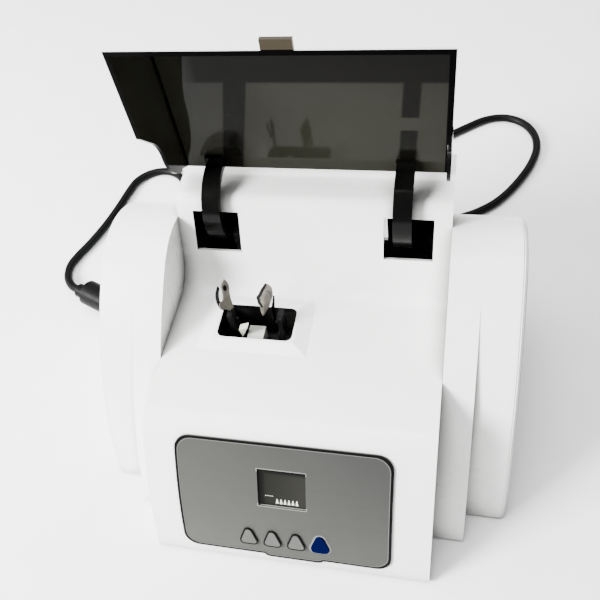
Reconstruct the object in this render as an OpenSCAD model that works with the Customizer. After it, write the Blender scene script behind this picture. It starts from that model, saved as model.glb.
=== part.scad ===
// Dental amalgamator with a hinged clear lid, side drums and a mains lead.
// Millimetres, Z up, front of the machine towards -Y.
// Pieces are laid out with Y measured back from the front edge of the housing,
// and seat() moves that edge so that the origin is under the middle of the machine.

/* [Housing] */
// Width of the central housing
body_w = 166; // [150:1:190]
// Depth of the central housing
body_depth = 216; // [206:1:240]
// Wall of the mouldings
wall = 2.5; // [1.8:0.1:3]
// Height of the housing edge above the table
foot_gap = 2; // [1.5:0.5:4]
// Slope of the front face at its foot
front_slope_low = 71; // [66:1:76]
// Slope of the front face at its top
front_slope_high = 52; // [48:1:56]
// Radius of the bowed front face
front_r = 274; // [250:1:290]
// Radius of the front ridge
ridge_r = 14; // [8:1:20]
// Distance from the front edge to the foot of the riser
riser_y = 130; // [126:1:134]
// Radius of the hollow between deck and riser
riser_fillet_r = 24; // [16:1:28]
// Slope of the riser
riser_slope = 67; // [64:1:70]
// Length of the straight riser
riser_len = 36.5; // [34:0.5:39]
// Radius of the ridge above the riser
top_ridge_r = 8; // [6:0.5:10]
// Radius of the rear edge
rear_edge_r = 8; // [4:1:14]

/* [Side drums] */
// Width of each inner band
ring_w = 18; // [14:1:24]
// Width of each outer cap
cap_w = 24; // [18:1:32]
// Distance from the front edge to the foot of the outer cap
ear_y = 43; // [38:1:50]
// Distance from the front edge to the foot of the inner band
ring_y = 26; // [20:1:32]
// Radius of the long front curve of the cap
ear_front_r = 200; // [190:1:212]
// Slope of the cap at its foot
ear_slope_low = 76; // [72:1:80]
// Slope where the front curve meets the crown
ear_slope_high = 33; // [28:1:38]
// Radius of the crown
ear_crown_r = 46; // [40:1:60]
// Radius of the rear shoulder
ear_rear_r = 46; // [40:1:58]
// Rounding of the outer rim
ear_rim_r = 4; // [2:0.5:6]
// Radius of the cable port between housing and drum
port_r = 8; // [5:0.5:12]

/* [Mixing opening] */
// Width of the opening in the deck
well_w = 46.5; // [44:0.5:52]
// Depth of the opening in the deck
well_d = 24; // [22:0.5:30]
// Middle of the opening, left of the centre line
well_x = -29; // [-32:0.5:-26]
// Middle of the opening, back from the front edge
well_y = 115; // [112:0.5:118]
// Corner radius of the opening
well_corner_r = 4; // [2:0.5:6]
// Width of the raised pad
pad_w = 67; // [62:1:76]
// Depth of the raised pad
pad_d = 42; // [38:1:46]
// Height of the raised pad
pad_h = 2; // [1.5:0.5:4]
// Depth of the liner below the deck
liner_h = 18; // [12:1:20]

/* [Lid] */
// Outside width of the lid
lid_w = 161; // [158:1:164]
// Wall of the lid
lid_wall = 2.2; // [1.6:0.1:2.8]
// Length of the flat top plate
lid_plate_l = 80; // [76:1:82]
// Height of the lid over the deck
lid_h = 42.5; // [40:0.5:44]
// Forward reach of the sloping front wall
lid_front_reach = 28; // [20:1:29]
// Angle that the lid opens
lid_open = 90; // [70:5:92]
// Width of the pull tab
tab_w = 15; // [12:1:30]
// Reach of the pull tab
tab_l = 5.5; // [4:0.5:8]
// Place of the pull tab, right of the centre line
tab_x = 3; // [-10:1:10]
// Width of each hinge slot
slot_w = 29; // [26:1:34]
// Length of each hinge slot up the riser
slot_l = 26.5; // [24:0.5:27]
// Distance from the centre line to the middle of each slot
slot_x = 58.5; // [54:0.5:62]
// Distance of the hinge axis behind the front edge
hinge_y = 184; // [183:0.5:185]
// Height of the hinge axis
hinge_z = 123; // [122:0.5:124]
// Mean radius of the curved hinge arms
arm_r = 25; // [24.5:0.1:26]
// Thickness of the curved hinge arms
arm_t = 3.2; // [2.4:0.2:3.6]
// Width of each hinge arm
arm_w = 11; // [7:0.5:12]
// Sideways shift of both arms in their slots
arm_shift = -2; // [-4:0.5:4]
// Radius of the hinge pins
hinge_pin_r = 2; // [1.5:0.1:2.5]

/* [Controls] */
// Width of the grey panel
panel_w = 125; // [110:1:135]
// Height of the grey panel along the slope
panel_h = 80; // [74:1:82]
// Distance of the panel up the slope from the front edge
panel_s = 8.5; // [6:0.5:10]
// Sideways place of the panel, display and keys
panel_x = -1.5; // [-4:0.5:4]
// Thickness of the panel
panel_t = 0.8; // [0.5:0.1:1.2]
// Corner radius of the panel
panel_corner_r = 9; // [5:1:14]
// Width of the display window
display_w = 28; // [22:1:36]
// Height of the display window
display_h = 25; // [18:1:28]
// Distance of the middle of the display up the slope
display_s = 59.5; // [54:0.5:62]
// Spacing of the keys
key_pitch = 14.3; // [13:0.1:17]
// Width of a key
key_w = 10.8; // [8:0.2:12]
// Height of a key
key_h = 12.5; // [9:0.5:14]
// Distance of the keys up the slope
key_s = 22.5; // [19:0.5:26]
// How far a key stands out of the panel
key_proud = 0.9; // [0.6:0.1:1.4]
// Travel of a key
key_travel = 0.5; // [0.3:0.1:0.6]
// Thickness of the circuit boards
board_t = 1.6; // [1:0.1:2]

/* [Motor and mixing arm] */
// Height of the motor axis
motor_z = 42; // [40:0.5:44]
// Radius of the motor can
motor_r = 26; // [22:0.5:28]
// Length of the motor can
motor_l = 58; // [50:1:60]
// Distance of the motor can right of the centre line
motor_x = 5; // [3:1:8]
// Radius of the motor shaft
shaft_r = 4; // [3:0.25:5]
// Radius of the motor bearings
bearing_r = 9; // [8:0.5:11]
// Place of the skewed hub along the shaft
hub_x = -29.5; // [-31:0.5:-28]
// Tilt of the skewed hub
hub_skew = 5; // [2:0.5:7]
// Radius of the skewed hub
hub_r = 9; // [7.5:0.5:10]
// Ball radius of the inner race
race_r = 13; // [12:0.5:14]
// Outer radius of the outer race
outer_race_r = 16.5; // [15.5:0.5:18]
// Outer radius of the eye of the mixing arm
eye_r = 20; // [19.5:0.5:21]
// Width of the eye of the mixing arm
eye_w = 9; // [8:0.5:10]
// Distance between the prongs where they hold a capsule
fork_gap = 28; // [24:0.5:30]
// Height of the prong tips above the motor axis
prong_h = 80; // [74:0.5:81]
// Width of the fork arms
fork_bar_w = 8; // [6:0.5:10]
// Thickness of the fork arms
fork_bar_t = 3; // [2:0.25:3.5]
// Thickness of the sheet-metal prongs
prong_t = 0.8; // [0.6:0.1:1.2]
// Wire radius of the arm springs
spring_wire_r = 0.6; // [0.4:0.05:0.8]
// Coil radius of the arm springs
spring_r = 4; // [3:0.5:5]
// Number of turns of each arm spring
spring_turns = 7; // [5:1:9]
// Thickness of the motor frame
frame_t = 2.5; // [2:0.25:3]
// Height of the rubber mounts
mount_h = 8; // [6:0.5:9]
// Radius of the rubber mounts
mount_r = 7; // [5:0.5:9]

/* [Base and rear] */
// Thickness of the base plate
base_t = 3; // [2:0.5:4]
// Radius of the feet
foot_r = 9; // [7:0.5:12]
// Distance of the feet from the housing sides
foot_inset = 16; // [13:1:24]
// Radius of the two transit screw holes
transit_r = 2.6; // [2:0.1:3.5]
// Spacing of the two transit screw holes
transit_pitch = 72; // [64:1:76]
// Width of the rear pocket
pocket_w = 62; // [56:1:74]
// Height of the rear pocket
pocket_h = 34; // [30:1:44]
// Depth of the rear pocket
pocket_d = 6; // [5.5:0.5:8]
// Height of the middle of the rear pocket
pocket_z = 42; // [36:1:60]
// Middle of the rear pocket, left of the centre line
pocket_x = -38; // [-44:1:-34]
// Width of the power switch
switch_w = 15; // [12:0.5:18]
// Height of the power switch
switch_h = 21; // [18:0.5:24]
// Radius of the fuse holder
fuse_r = 6; // [5:0.25:7]
// Tilt of the rocker
rocker_tilt = 8; // [4:1:10]
// Diameter of the mains lead
cord_d = 6.6; // [6:0.1:7]
// Length of the strain relief behind the housing
relief_l = 30; // [24:1:36]

/* [Hidden] */
$fn = 48;

// Clearances shared by all pieces
fit = 0.2;
run = 0.05;
eps = 0.01;
arc_sag = 0.03;

body_x = body_w / 2;
ring_x = body_x + ring_w;
cap_x = ring_x + cap_w;

// Outlines are traced as turns and straights with a running heading, in (Y, Z).
// A move is [radius, heading, new heading], or [0, heading, length] for a straight.
function arc_points(p, r, a, b) =
    let (n = max(1, ceil(abs(b - a) / (2 * acos(1 - arc_sag / abs(r))))))
    [for (i = [1:n]) let (t = a + (b - a) * i / n)
        p + r * [sin(a) - sin(t), cos(t) - cos(a)]];
function move_points(p, m) =
    m[0] == 0 ? [p + m[2] * [cos(m[1]), sin(m[1])]] : arc_points(p, m[0], m[1], m[2]);
function trace(p, moves, i = 0) =
    i == len(moves) ? [p]
    : let (q = move_points(p, moves[i]), last = q[len(q) - 1])
      concat([p], [for (k = [0:1:len(q) - 2]) q[k]], trace(last, moves, i + 1));
function inset_moves(moves, w) =
    [for (m = moves) m[0] == 0 ? m : [m[0] - w, m[1], m[2]]];
function inset_start(p, heading, w) = p + w * [sin(heading), -cos(heading)];
function inset_trace(p, moves, w) =
    trace(inset_start(p, moves[0][1], w), inset_moves(moves, w));
function turn(r, a, b) = r * [sin(a) - sin(b), cos(b) - cos(a)];

// Housing outline
deck_z = turn(front_r, front_slope_low, front_slope_high)[1]
    + turn(ridge_r, front_slope_high, 0)[1];
deck_y = turn(front_r, front_slope_low, front_slope_high)[0]
    + turn(ridge_r, front_slope_high, 0)[0];
riser_rise = turn(-riser_fillet_r, 0, riser_slope)
    + riser_len * [cos(riser_slope), sin(riser_slope)];
top_ridge = [riser_y, deck_z] + riser_rise + turn(top_ridge_r, riser_slope, 0);
top_z = top_ridge[1];
riser_foot = [riser_y, deck_z] + turn(-riser_fillet_r, 0, riser_slope);
body_moves = [
    [front_r, front_slope_low, front_slope_high],
    [ridge_r, front_slope_high, 0],
    [0, 0, riser_y - deck_y],
    [-riser_fillet_r, 0, riser_slope],
    [0, riser_slope, riser_len],
    [top_ridge_r, riser_slope, 0],
    [0, 0, body_depth - rear_edge_r - top_ridge[0]],
    [rear_edge_r, 0, -90],
    [0, -90, top_z - rear_edge_r]];

// Drum outlines: the cap, and the inner band whose front curve ends where the cap's does
shoulder = [ear_y, 0] + turn(ear_front_r, ear_slope_low, ear_slope_high);
crown = shoulder + turn(ear_crown_r, ear_slope_high, 0);
ear_rear_y = crown[0] + ear_rear_r;
ring_chord = shoulder - [ring_y, 0];
ring_slope_low = 2 * atan2(ring_chord[1], ring_chord[0]) - ear_slope_high;
ring_front_r = norm(ring_chord) / (2 * sin((ring_slope_low - ear_slope_high) / 2));
function drum_moves(front_curve_r, slope_low) = [
    [front_curve_r, slope_low, ear_slope_high],
    [ear_crown_r, ear_slope_high, 0],
    [ear_rear_r, 0, -90],
    [0, -90, crown[1] - ear_rear_r]];

// A place on the bowed front face: distance up the slope, and distance out of it
function front_heading(s) = front_slope_low - s / front_r * 180 / PI;
function front_at(s) = turn(front_r, front_slope_low, front_heading(s));

// Hinge slots lie in the middle of the straight riser
slot_mid = riser_foot + (riser_len * 0.53) * [cos(riser_slope), sin(riser_slope)];

front_edge_y = foot_gap / tan(front_slope_low);
module seat() {
    translate([0, -(body_depth + front_edge_y) / 2, 0])
    children();
}
module across(x0, x1) {
    translate([x0, 0, 0])
    rotate([90, 0, 90])
    linear_extrude(x1 - x0)
    children();
}
module on_front(x, s) {
    translate([x, front_at(s)[0], front_at(s)[1]])
    rotate([front_heading(s), 0, 0])
    children();
}
module on_riser(x) {
    translate([x, slot_mid[0], slot_mid[1]])
    rotate([riser_slope, 0, 0])
    children();
}
module rod_x(r, x0, x1) {
    translate([x0, 0, 0])
    rotate([0, 90, 0])
    cylinder(r = r, h = x1 - x0);
}
module rod_y(r, y0, y1) {
    translate([0, y0, 0])
    rotate([-90, 0, 0])
    cylinder(r = r, h = y1 - y0);
}
module block(low, high) {
    translate(low)
    cube(high - low);
}
function round_rect(w, h, r) = let (n = 6) [
    for (c = [[1, 1, 0], [-1, 1, 90], [-1, -1, 180], [1, -1, 270]], i = [0:n])
        [c[0] * (w / 2 - r), c[1] * (h / 2 - r)]
        + r * [cos(c[2] + 90 * i / n), sin(c[2] + 90 * i / n)]];

/* Housing pieces */
module body_outline(w = 0) {
    polygon(inset_trace([0, 0], body_moves, w));
}
well_cut_h = pad_h + wall + 4;
pocket_floor_y = body_depth - pocket_d;
gland_x = 70;
gland_z = 14;
gland_r = 5.5;
vent_w = 3;
vent_h = 26;
vent_pitch = 8;
vent_count = 6;
vent_x = 6;
switch_x = pocket_x - 13;
fuse_x = pocket_x + 16;
post_r = 3.5;
post_x = [-50, 50];
post_s = [20, 76];
board_gap = 7.5;
screw_r = 1.5;

module key_shape(grow = 0) {
    // Rounded triangle with its apex up the slope
    corner = 2.6;
    half_w = key_w / 2 - corner;
    half_h = key_h / 2 - corner;
    lean = atan2(half_w, 2 * half_h);
    corners = [[half_w, -half_h, -90, lean], [0, half_h, lean, 180 - lean],
        [-half_w, -half_h, 180 - lean, 270]];
    steps = 5;
    polygon([for (c = corners, i = [0:steps])
        let (a = c[2] + (c[3] - c[2]) * i / steps)
        [c[0], c[1]] + (corner + grow) * [cos(a), sin(a)]]);
}
module key_row() {
    for (k = [-1.5:1:1.5])
        on_front(panel_x + k * key_pitch, key_s)
        children();
}
module pad() {
    // Sides slope in from the foot of the pad to a narrow rim round the opening
    rim = 1.5;
    rise = wall + pad_h;
    translate([well_x, well_y, deck_z - wall])
    intersection() {
        across(-pad_w / 2, pad_w / 2)
        polygon([[-pad_d / 2, 0], [pad_d / 2, 0], [pad_d / 2, wall],
            [well_d / 2 + rim, rise], [-well_d / 2 - rim, rise], [-pad_d / 2, wall]]);
        translate([0, pad_d / 2, 0])
        rotate([90, 0, 0])
        linear_extrude(pad_d)
        polygon([[-pad_w / 2, 0], [pad_w / 2, 0], [pad_w / 2, wall],
            [well_w / 2 + rim, rise], [-well_w / 2 - rim, rise], [-pad_w / 2, wall]]);
    }
}
module upper_shell() {
    color("whitesmoke")
    seat()
    difference() {
        union() {
            difference() {
                across(-body_x, body_x) body_outline();
                across(-body_x + wall, body_x - wall) body_outline(wall);
            }
            pad();
            // Pocket that holds the switch and the fuse
            block([pocket_x - pocket_w / 2 - wall, pocket_floor_y - wall,
                   pocket_z - pocket_h / 2 - wall],
                  [pocket_x + pocket_w / 2 + wall, body_depth - eps,
                   pocket_z + pocket_h / 2 + wall]);
            // Posts behind the panel for the control board
            for (x = post_x, s = post_s)
                on_front(panel_x + x, s)
                translate([0, 0, -board_gap])
                cylinder(r = post_r, h = board_gap - wall / 2);
        }
        // Open underside, down to the edge
        block([-body_x - 1, -1, -1], [body_x + 1, body_depth + 1, foot_gap]);
        // Mixing opening
        translate([well_x, well_y, deck_z - wall - 2])
        linear_extrude(well_cut_h + 2)
        polygon(round_rect(well_w, well_d, well_corner_r));
        // Hinge slots
        for (side = [-1, 1])
            on_riser(side * slot_x)
            block([-slot_w / 2, -slot_l / 2, -8], [slot_w / 2, slot_l / 2, 6]);
        // Display window and key holes
        on_front(panel_x, display_s)
        block([-display_w / 2, -display_h / 2, -8], [display_w / 2, display_h / 2, 4]);
        key_row()
        translate([0, 0, -6])
        linear_extrude(12)
        key_shape(fit);
        // Pocket, switch and fuse holes
        block([pocket_x - pocket_w / 2, pocket_floor_y, pocket_z - pocket_h / 2],
              [pocket_x + pocket_w / 2, body_depth + 1, pocket_z + pocket_h / 2]);
        translate([switch_x, 0, pocket_z])
        block([-switch_w / 2, pocket_floor_y - wall - 1, -switch_h / 2],
              [switch_w / 2, pocket_floor_y + 1, switch_h / 2]);
        translate([fuse_x, 0, pocket_z])
        rod_y(fuse_r, pocket_floor_y - wall - 1, pocket_floor_y + 1);
        // Lead outlet
        translate([gland_x, 0, gland_z])
        rod_y(gland_r, body_depth - wall - 1, body_depth + 1);
        // Vents
        for (i = [0:vent_count - 1])
            translate([vent_x + i * vent_pitch, 0, pocket_z + vent_h])
            block([-vent_w / 2, body_depth - wall - 1, -vent_h / 2],
                  [vent_w / 2, body_depth + 1, vent_h / 2]);
        // Cable ports to the drums
        translate([0, crown[0], motor_z])
        rod_x(port_r, -body_x - 1, body_x + 1);
    }
}
foot_places = [for (x = [-1, 1], y = [foot_inset + 12, body_depth - foot_inset])
    [x * (body_x - foot_inset), y]];
base_front_y = wall / sin(front_slope_low) + foot_gap + fit;
base_rear_y = body_depth - wall - fit;
stud_r = 3;
frame_y = well_y + 2;
frame_z = foot_gap + base_t + mount_h + fit;
transit_x = 13;
module base_plate() {
    color("gainsboro")
    seat()
    difference() {
        block([-body_x + wall + fit, base_front_y + fit, foot_gap],
              [body_x - wall - fit, base_rear_y, foot_gap + base_t]);
        for (p = foot_places)
            translate([p[0], p[1], 0])
            cylinder(r = stud_r + fit, h = 20);
        for (s = [-1, 1])
            translate([transit_x, frame_y + s * transit_pitch / 2, 0])
            cylinder(r = transit_r, h = 20);
    }
}
module feet() {
    color("dimgray")
    seat()
    for (p = foot_places)
        translate([p[0], p[1], 0])
        difference() {
            union() {
                cylinder(r = foot_r, h = foot_gap);
                cylinder(r = stud_r, h = foot_gap + base_t + fit);
            }
            translate([0, 0, 1])
            cylinder(r = screw_r + run, h = 20);
        }
}
module foot_screws() {
    color("silver")
    seat()
    for (p = foot_places)
        translate([p[0], p[1], 1 + eps])
        union() {
            cylinder(r = screw_r, h = foot_gap + base_t + 2);
            translate([0, 0, foot_gap + base_t - 1 + 2 * fit])
            cylinder(r = screw_r * 2.4, h = 1.6);
        }
}

/* Side drums */
module drum_outline(start_y, front_curve_r, slope_low, w = 0) {
    polygon(inset_trace([start_y, 0], drum_moves(front_curve_r, slope_low), w));
}
module band_outline(w = 0) {
    drum_outline(ring_y, ring_front_r, ring_slope_low, w);
}
module cap_outline(w = 0) {
    drum_outline(ear_y, ear_front_r, ear_slope_low, w);
}
// Solid inside of a drum: closed at the foot as well as round the outline
module hollow(x0, x1) {
    intersection() {
        across(x0, x1) children();
        block([x0, 0, foot_gap + wall], [x1, body_depth, crown[1]]);
    }
}
module above_foot() {
    difference() {
        children();
        block([-400, -10, -1], [400, 400, foot_gap]);
    }
}
module inner_band(side) {
    color("white")
    seat()
    mirror([side < 0 ? 1 : 0, 0, 0])
    above_foot()
    difference() {
        across(body_x + fit, ring_x) band_outline();
        hollow(body_x + fit + wall, ring_x - wall) band_outline(wall);
        hollow(body_x + wall, ring_x + 1) cap_outline(2 * wall);
        translate([0, crown[0], motor_z])
        rod_x(port_r, body_x - 1, ring_x - wall);
    }
}
module end_cap(side) {
    slices = 5;
    color("white")
    seat()
    mirror([side < 0 ? 1 : 0, 0, 0])
    above_foot()
    difference() {
        union() {
            across(ring_x, cap_x - ear_rim_r) cap_outline();
            // Rounded outer rim, drawn in by steps of an even angle
            for (i = [1:slices]) {
                a = 90 * (i - 0.5) / slices;
                across(cap_x - ear_rim_r - eps, cap_x - ear_rim_r * (1 - sin(90 * i / slices)))
                cap_outline(ear_rim_r * (1 - cos(a)));
            }
        }
        hollow(ring_x, cap_x - wall - ear_rim_r / 2) cap_outline(2 * wall);
    }
}
module inner_band_left() { inner_band(-1); }
module inner_band_right() { inner_band(1); }
module end_cap_left() { end_cap(-1); }
module end_cap_right() { end_cap(1); }

/* Controls */
bump_w = 34;
bump_h = 2;
bump_x = 5;
module panel_shape() {
    union() {
        polygon(round_rect(panel_w, panel_h, panel_corner_r));
        translate([bump_x, -panel_h / 2 + bump_h])
        polygon(round_rect(bump_w, 4 * bump_h, bump_h));
    }
}
panel_skin = 0.1;
module control_panel() {
    mid_s = panel_s + panel_h / 2;
    outer_r = front_r + panel_skin + panel_t;
    inner_r = front_r + panel_skin;
    color([0.53, 0.54, 0.52])
    seat()
    difference() {
        intersection() {
            across(-body_x, body_x)
            polygon(concat(
                trace(inset_start([0, 0], front_slope_low, front_r - outer_r),
                    [[outer_r, front_slope_low, front_slope_high]]),
                trace(inset_start([0, 0], front_slope_low, front_r - inner_r)
                    + turn(inner_r, front_slope_low, front_slope_high),
                    [[inner_r, front_slope_high, front_slope_low]])));
            on_front(panel_x, mid_s)
            translate([0, 0, -12])
            linear_extrude(24)
            panel_shape();
        }
        on_front(panel_x, display_s)
        block([-display_w / 2, -display_h / 2, -8], [display_w / 2, display_h / 2, 8]);
        key_row()
        translate([0, 0, -6])
        linear_extrude(12)
        key_shape(fit);
    }
}
lens_t = 1.5;
board_s = 46;
board_w = 116;
board_h = 68;
board_drop = board_gap + 1.8;
module display_lens() {
    color([0.25, 0.26, 0.22])
    seat()
    on_front(panel_x, display_s)
    block([-display_w / 2 + fit, -display_h / 2 + fit, -lens_t - 0.6],
          [display_w / 2 - fit, display_h / 2 - fit, -0.6]);
}
module display_module() {
    color([0.5, 0.55, 0.45])
    seat()
    on_front(panel_x, board_s)
    translate([0, display_s - board_s, 0])
    block([-display_w / 2 + 1, -display_h / 2 + 1, fit - board_drop],
          [display_w / 2 - 1, display_h / 2 - 1, -lens_t - 1.6]);
}
// A key reaches from its face to the switch behind it, with a rim that keeps it in
key_rim_t = 1;
key_rim = 1;
key_depth = wall + key_rim_t + 0.6;
module key(index) {
    seat()
    on_front(panel_x + (index - 1.5) * key_pitch, key_s)
    union() {
        translate([0, 0, -key_depth])
        linear_extrude(key_depth + panel_skin + panel_t + key_proud)
        key_shape();
        translate([0, 0, -key_depth])
        linear_extrude(key_rim_t)
        key_shape(key_rim);
    }
}
module key_mode() { color("lightgray") key(0); }
module key_minus() { color("lightgray") key(1); }
module key_plus() { color("lightgray") key(2); }
module key_start() { color("mediumblue") key(3); }
module control_board() {
    color("darkgreen")
    seat()
    difference() {
        on_front(panel_x, board_s)
        block([-board_w / 2, -board_h / 2, -board_drop - board_t],
              [board_w / 2, board_h / 2, -board_drop]);
        for (x = post_x, s = post_s)
            on_front(panel_x + x, s)
            translate([0, 0, -board_gap - 8])
            cylinder(r = screw_r + fit, h = 9);
    }
}
module key_switches() {
    color("black")
    seat()
    for (k = [-1.5:1:1.5])
        on_front(panel_x + k * key_pitch, key_s)
        block([-3, -3, -board_gap - 0.3], [3, 3, -key_depth - key_travel - fit]);
}
module board_screws() {
    color("silver")
    seat()
    for (x = post_x, s = post_s)
        on_front(panel_x + x, s)
        translate([0, 0, -board_gap - board_t - 2.7])
        union() {
            cylinder(r = screw_r, h = board_t + 2.7 - run);
            cylinder(r = 2 * screw_r, h = 1.4);
        }
}

/* Lid, drawn closed and then turned back about the hinge */
hinge_clear = 0.3;
lid_rear_y = hinge_y - arm_r + arm_t / 2 + 1.4;
lid_front_y = lid_rear_y - lid_plate_l;
lid_foot_y = lid_front_y - lid_front_reach;
lid_foot_z = deck_z + 1.4;
lid_top_z = lid_foot_z + lid_h;
lid_in_z = lid_top_z - lid_wall;
module at_hinge(angle) {
    translate([0, hinge_y, hinge_z])
    rotate([angle, 0, 0])
    translate([0, -hinge_y, -hinge_z])
    children();
}
// Side wall of the lid, with the curved notch that clears the riser
lid_edge_l = 52;
notch_r = 26;
notch_low = [lid_foot_y + lid_edge_l + 15, lid_foot_z + 13];
lid_side = concat(
    [[lid_rear_y, lid_top_z], [lid_front_y, lid_top_z], [lid_foot_y, lid_foot_z]],
    [[lid_foot_y + lid_edge_l, lid_foot_z]],
    trace(notch_low, [[notch_r, 35, 0], [-notch_r, 0, 60]]),
    [[lid_rear_y - 4, hinge_z - 3], [lid_rear_y, hinge_z + 3]]);
module lid_outer() {
    across(-lid_w / 2, lid_w / 2) polygon(lid_side);
}
module lid() {
    slope = atan2(lid_h, lid_front_reach);
    color([0.16, 0.16, 0.13, 0.75])
    seat()
    at_hinge(-lid_open)
    union() {
        difference() {
            lid_outer();
            across(-lid_w / 2 + lid_wall, lid_w / 2 - lid_wall)
            polygon([
                [lid_rear_y + 1, lid_in_z],
                [lid_front_y + lid_wall * tan(slope / 2), lid_in_z],
                [lid_foot_y + lid_wall / sin(slope) - 10 / tan(slope), lid_foot_z - 10],
                [lid_rear_y + 1, lid_foot_z - 10]]);
        }
        block([tab_x - tab_w / 2, lid_foot_y - tab_l, lid_foot_z],
              [tab_x + tab_w / 2, lid_foot_y + lid_wall, lid_foot_z + lid_wall]);
    }
}
// Curved arm: a band round the hinge axis, a foot under the lid plate and a hub
arm_reach = 130;
module lid_arm(x) {
    color([0.08, 0.08, 0.08])
    seat()
    at_hinge(-lid_open)
    translate([x, 0, 0])
    difference() {
        union() {
            translate([0, hinge_y, hinge_z])
            intersection() {
                difference() {
                    rod_x(arm_r + arm_t / 2, -arm_w / 2, arm_w / 2);
                    rod_x(arm_r - arm_t / 2, -arm_w, arm_w);
                }
                across(-arm_w, arm_w)
                polygon([[0, 0], [-60, 0], [-60, -60], [60, -60],
                    60 * [-cos(arm_reach), -sin(arm_reach)]]);
            }
            // Web from the band to the hub
            translate([0, hinge_y, hinge_z])
            across(-arm_w / 4, arm_w / 4)
            polygon([
                [0, 0],
                (arm_r - arm_t / 4) * [-cos(arm_reach - 30), -sin(arm_reach - 30)],
                (arm_r - arm_t / 4) * [-cos(arm_reach - 2), -sin(arm_reach - 2)]]);
            translate([0, hinge_y, hinge_z])
            rod_x(3 * hinge_pin_r, -arm_w / 2, arm_w / 2);
            // Foot against the lid plate
            block([-arm_w / 2, hinge_y - arm_r - arm_t / 2 - 5, lid_in_z - fit - arm_t],
                  [arm_w / 2, hinge_y - arm_r + arm_t / 2, lid_in_z - fit]);
            block([-arm_w / 2, hinge_y - arm_r - arm_t / 2, hinge_z - 1],
                  [arm_w / 2, hinge_y - arm_r + arm_t / 2, lid_in_z - fit]);
        }
        translate([0, hinge_y, hinge_z])
        rod_x(hinge_pin_r + run, -arm_w, arm_w);
    }
}
arm_x = [-slot_x + arm_shift + 1.5, slot_x + arm_shift - 1.5];
module lid_arm_left() { lid_arm(arm_x[0]); }
module lid_arm_right() { lid_arm(arm_x[1]); }
bracket_t = 3;
bracket_gap = 0.6;
module hinge_brackets() {
    color("silver")
    seat()
    for (x = arm_x, s = [-1, 1])
        translate([x + s * (arm_w / 2 + bracket_gap + bracket_t / 2), 0, 0])
        difference() {
            across(-bracket_t / 2, bracket_t / 2)
            polygon([[hinge_y - 5, hinge_z - 12], [hinge_y + 6, hinge_z - 12],
                [hinge_y + 6, hinge_z + 2], [hinge_y + 1, top_z - wall - fit],
                [hinge_y - 5, top_z - wall - fit]]);
            translate([0, hinge_y, hinge_z])
            rod_x(hinge_pin_r + run, -bracket_t, bracket_t);
        }
}
module hinge_pins() {
    half = arm_w / 2 + bracket_gap + bracket_t + 1;
    color("silver")
    seat()
    for (x = arm_x)
        translate([x, hinge_y, hinge_z])
        rod_x(hinge_pin_r, -half, half);
}
module lid_switch() {
    color("black")
    seat()
    translate([arm_x[0] + arm_w / 2 + bracket_gap + bracket_t + fit, hinge_y, 0])
    union() {
        block([0, -4, hinge_z - 14], [6.5, 6, hinge_z - 3]);
        block([2, -2, hinge_z - 15.5], [4.5, 1, hinge_z - 13]);
    }
}

/* Mixing well */
module well_liner() {
    color([0.1, 0.1, 0.1])
    seat()
    translate([well_x, well_y, deck_z - wall - liner_h - fit])
    difference() {
        union() {
            linear_extrude(liner_h)
            polygon(round_rect(well_w + 2 * wall, well_d + 2 * wall, well_corner_r + wall));
            translate([0, 0, liner_h - 1.5])
            linear_extrude(1.5)
            polygon(round_rect(well_w + 14, well_d + 12, well_corner_r + 6));
        }
        translate([0, 0, -1])
        linear_extrude(liner_h + 2)
        polygon(round_rect(well_w, well_d, well_corner_r));
    }
}

/* Motor */
bell_t = 6;
bell_x = [motor_x - fit - bell_t, motor_x + motor_l + fit];
bearing_w = 5;
module on_axis() {
    translate([0, frame_y, motor_z])
    children();
}
module motor_can() {
    color("silver")
    seat()
    on_axis()
    difference() {
        rod_x(motor_r, motor_x, motor_x + motor_l);
        rod_x(motor_r - 1.5, motor_x - 1, motor_x + motor_l + 1);
    }
}
core_r = motor_r * 0.6;
module stator() {
    color("dimgray")
    seat()
    on_axis()
    difference() {
        rod_x(motor_r - 1.5 - fit, motor_x + 10, motor_x + motor_l - 10);
        rod_x(core_r + 0.8, motor_x, motor_x + motor_l);
    }
}
module bell(x) {
    color("silver")
    seat()
    on_axis()
    difference() {
        rod_x(motor_r, x, x + bell_t);
        rod_x(bearing_r + run, x + (x < motor_x ? 1 : -1), x + bell_t + (x < motor_x ? 1 : -1));
        rod_x(shaft_r + 1, x - 1, x + bell_t + 1);
    }
}
module front_bell() { bell(bell_x[0]); }
module rear_bell() { bell(bell_x[1]); }
module motor_bearings() {
    color("lightgray")
    seat()
    on_axis()
    for (x = [bell_x[0] + bell_t - bearing_w, bell_x[1]])
        difference() {
            rod_x(bearing_r, x, x + bearing_w - run);
            rod_x(shaft_r + run, x - 1, x + bearing_w + 1);
        }
}
shaft_end_x = motor_x + motor_l + bell_t + 7;
module rotor_shaft() {
    color("lightgray")
    seat()
    on_axis()
    rod_x(shaft_r, hub_x - 11, shaft_end_x);
}
module rotor_core() {
    color("darkgray")
    seat()
    on_axis()
    difference() {
        rod_x(core_r, motor_x + 10, motor_x + motor_l - 10);
        rod_x(shaft_r + run, motor_x, motor_x + motor_l);
    }
}
fan_w = 4;
module fan() {
    blades = 7;
    color("black")
    seat()
    on_axis()
    across(shaft_end_x - fan_w - 0.5, shaft_end_x - 0.5)
    difference() {
        union() {
            circle(r = shaft_r + 3);
            for (i = [0:blades - 1])
                rotate(360 / blades * i)
                translate([shaft_r + 2, -0.7])
                square([motor_r * 0.8 - shaft_r - 2, 1.4]);
        }
        circle(r = shaft_r + run);
    }
}
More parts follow.
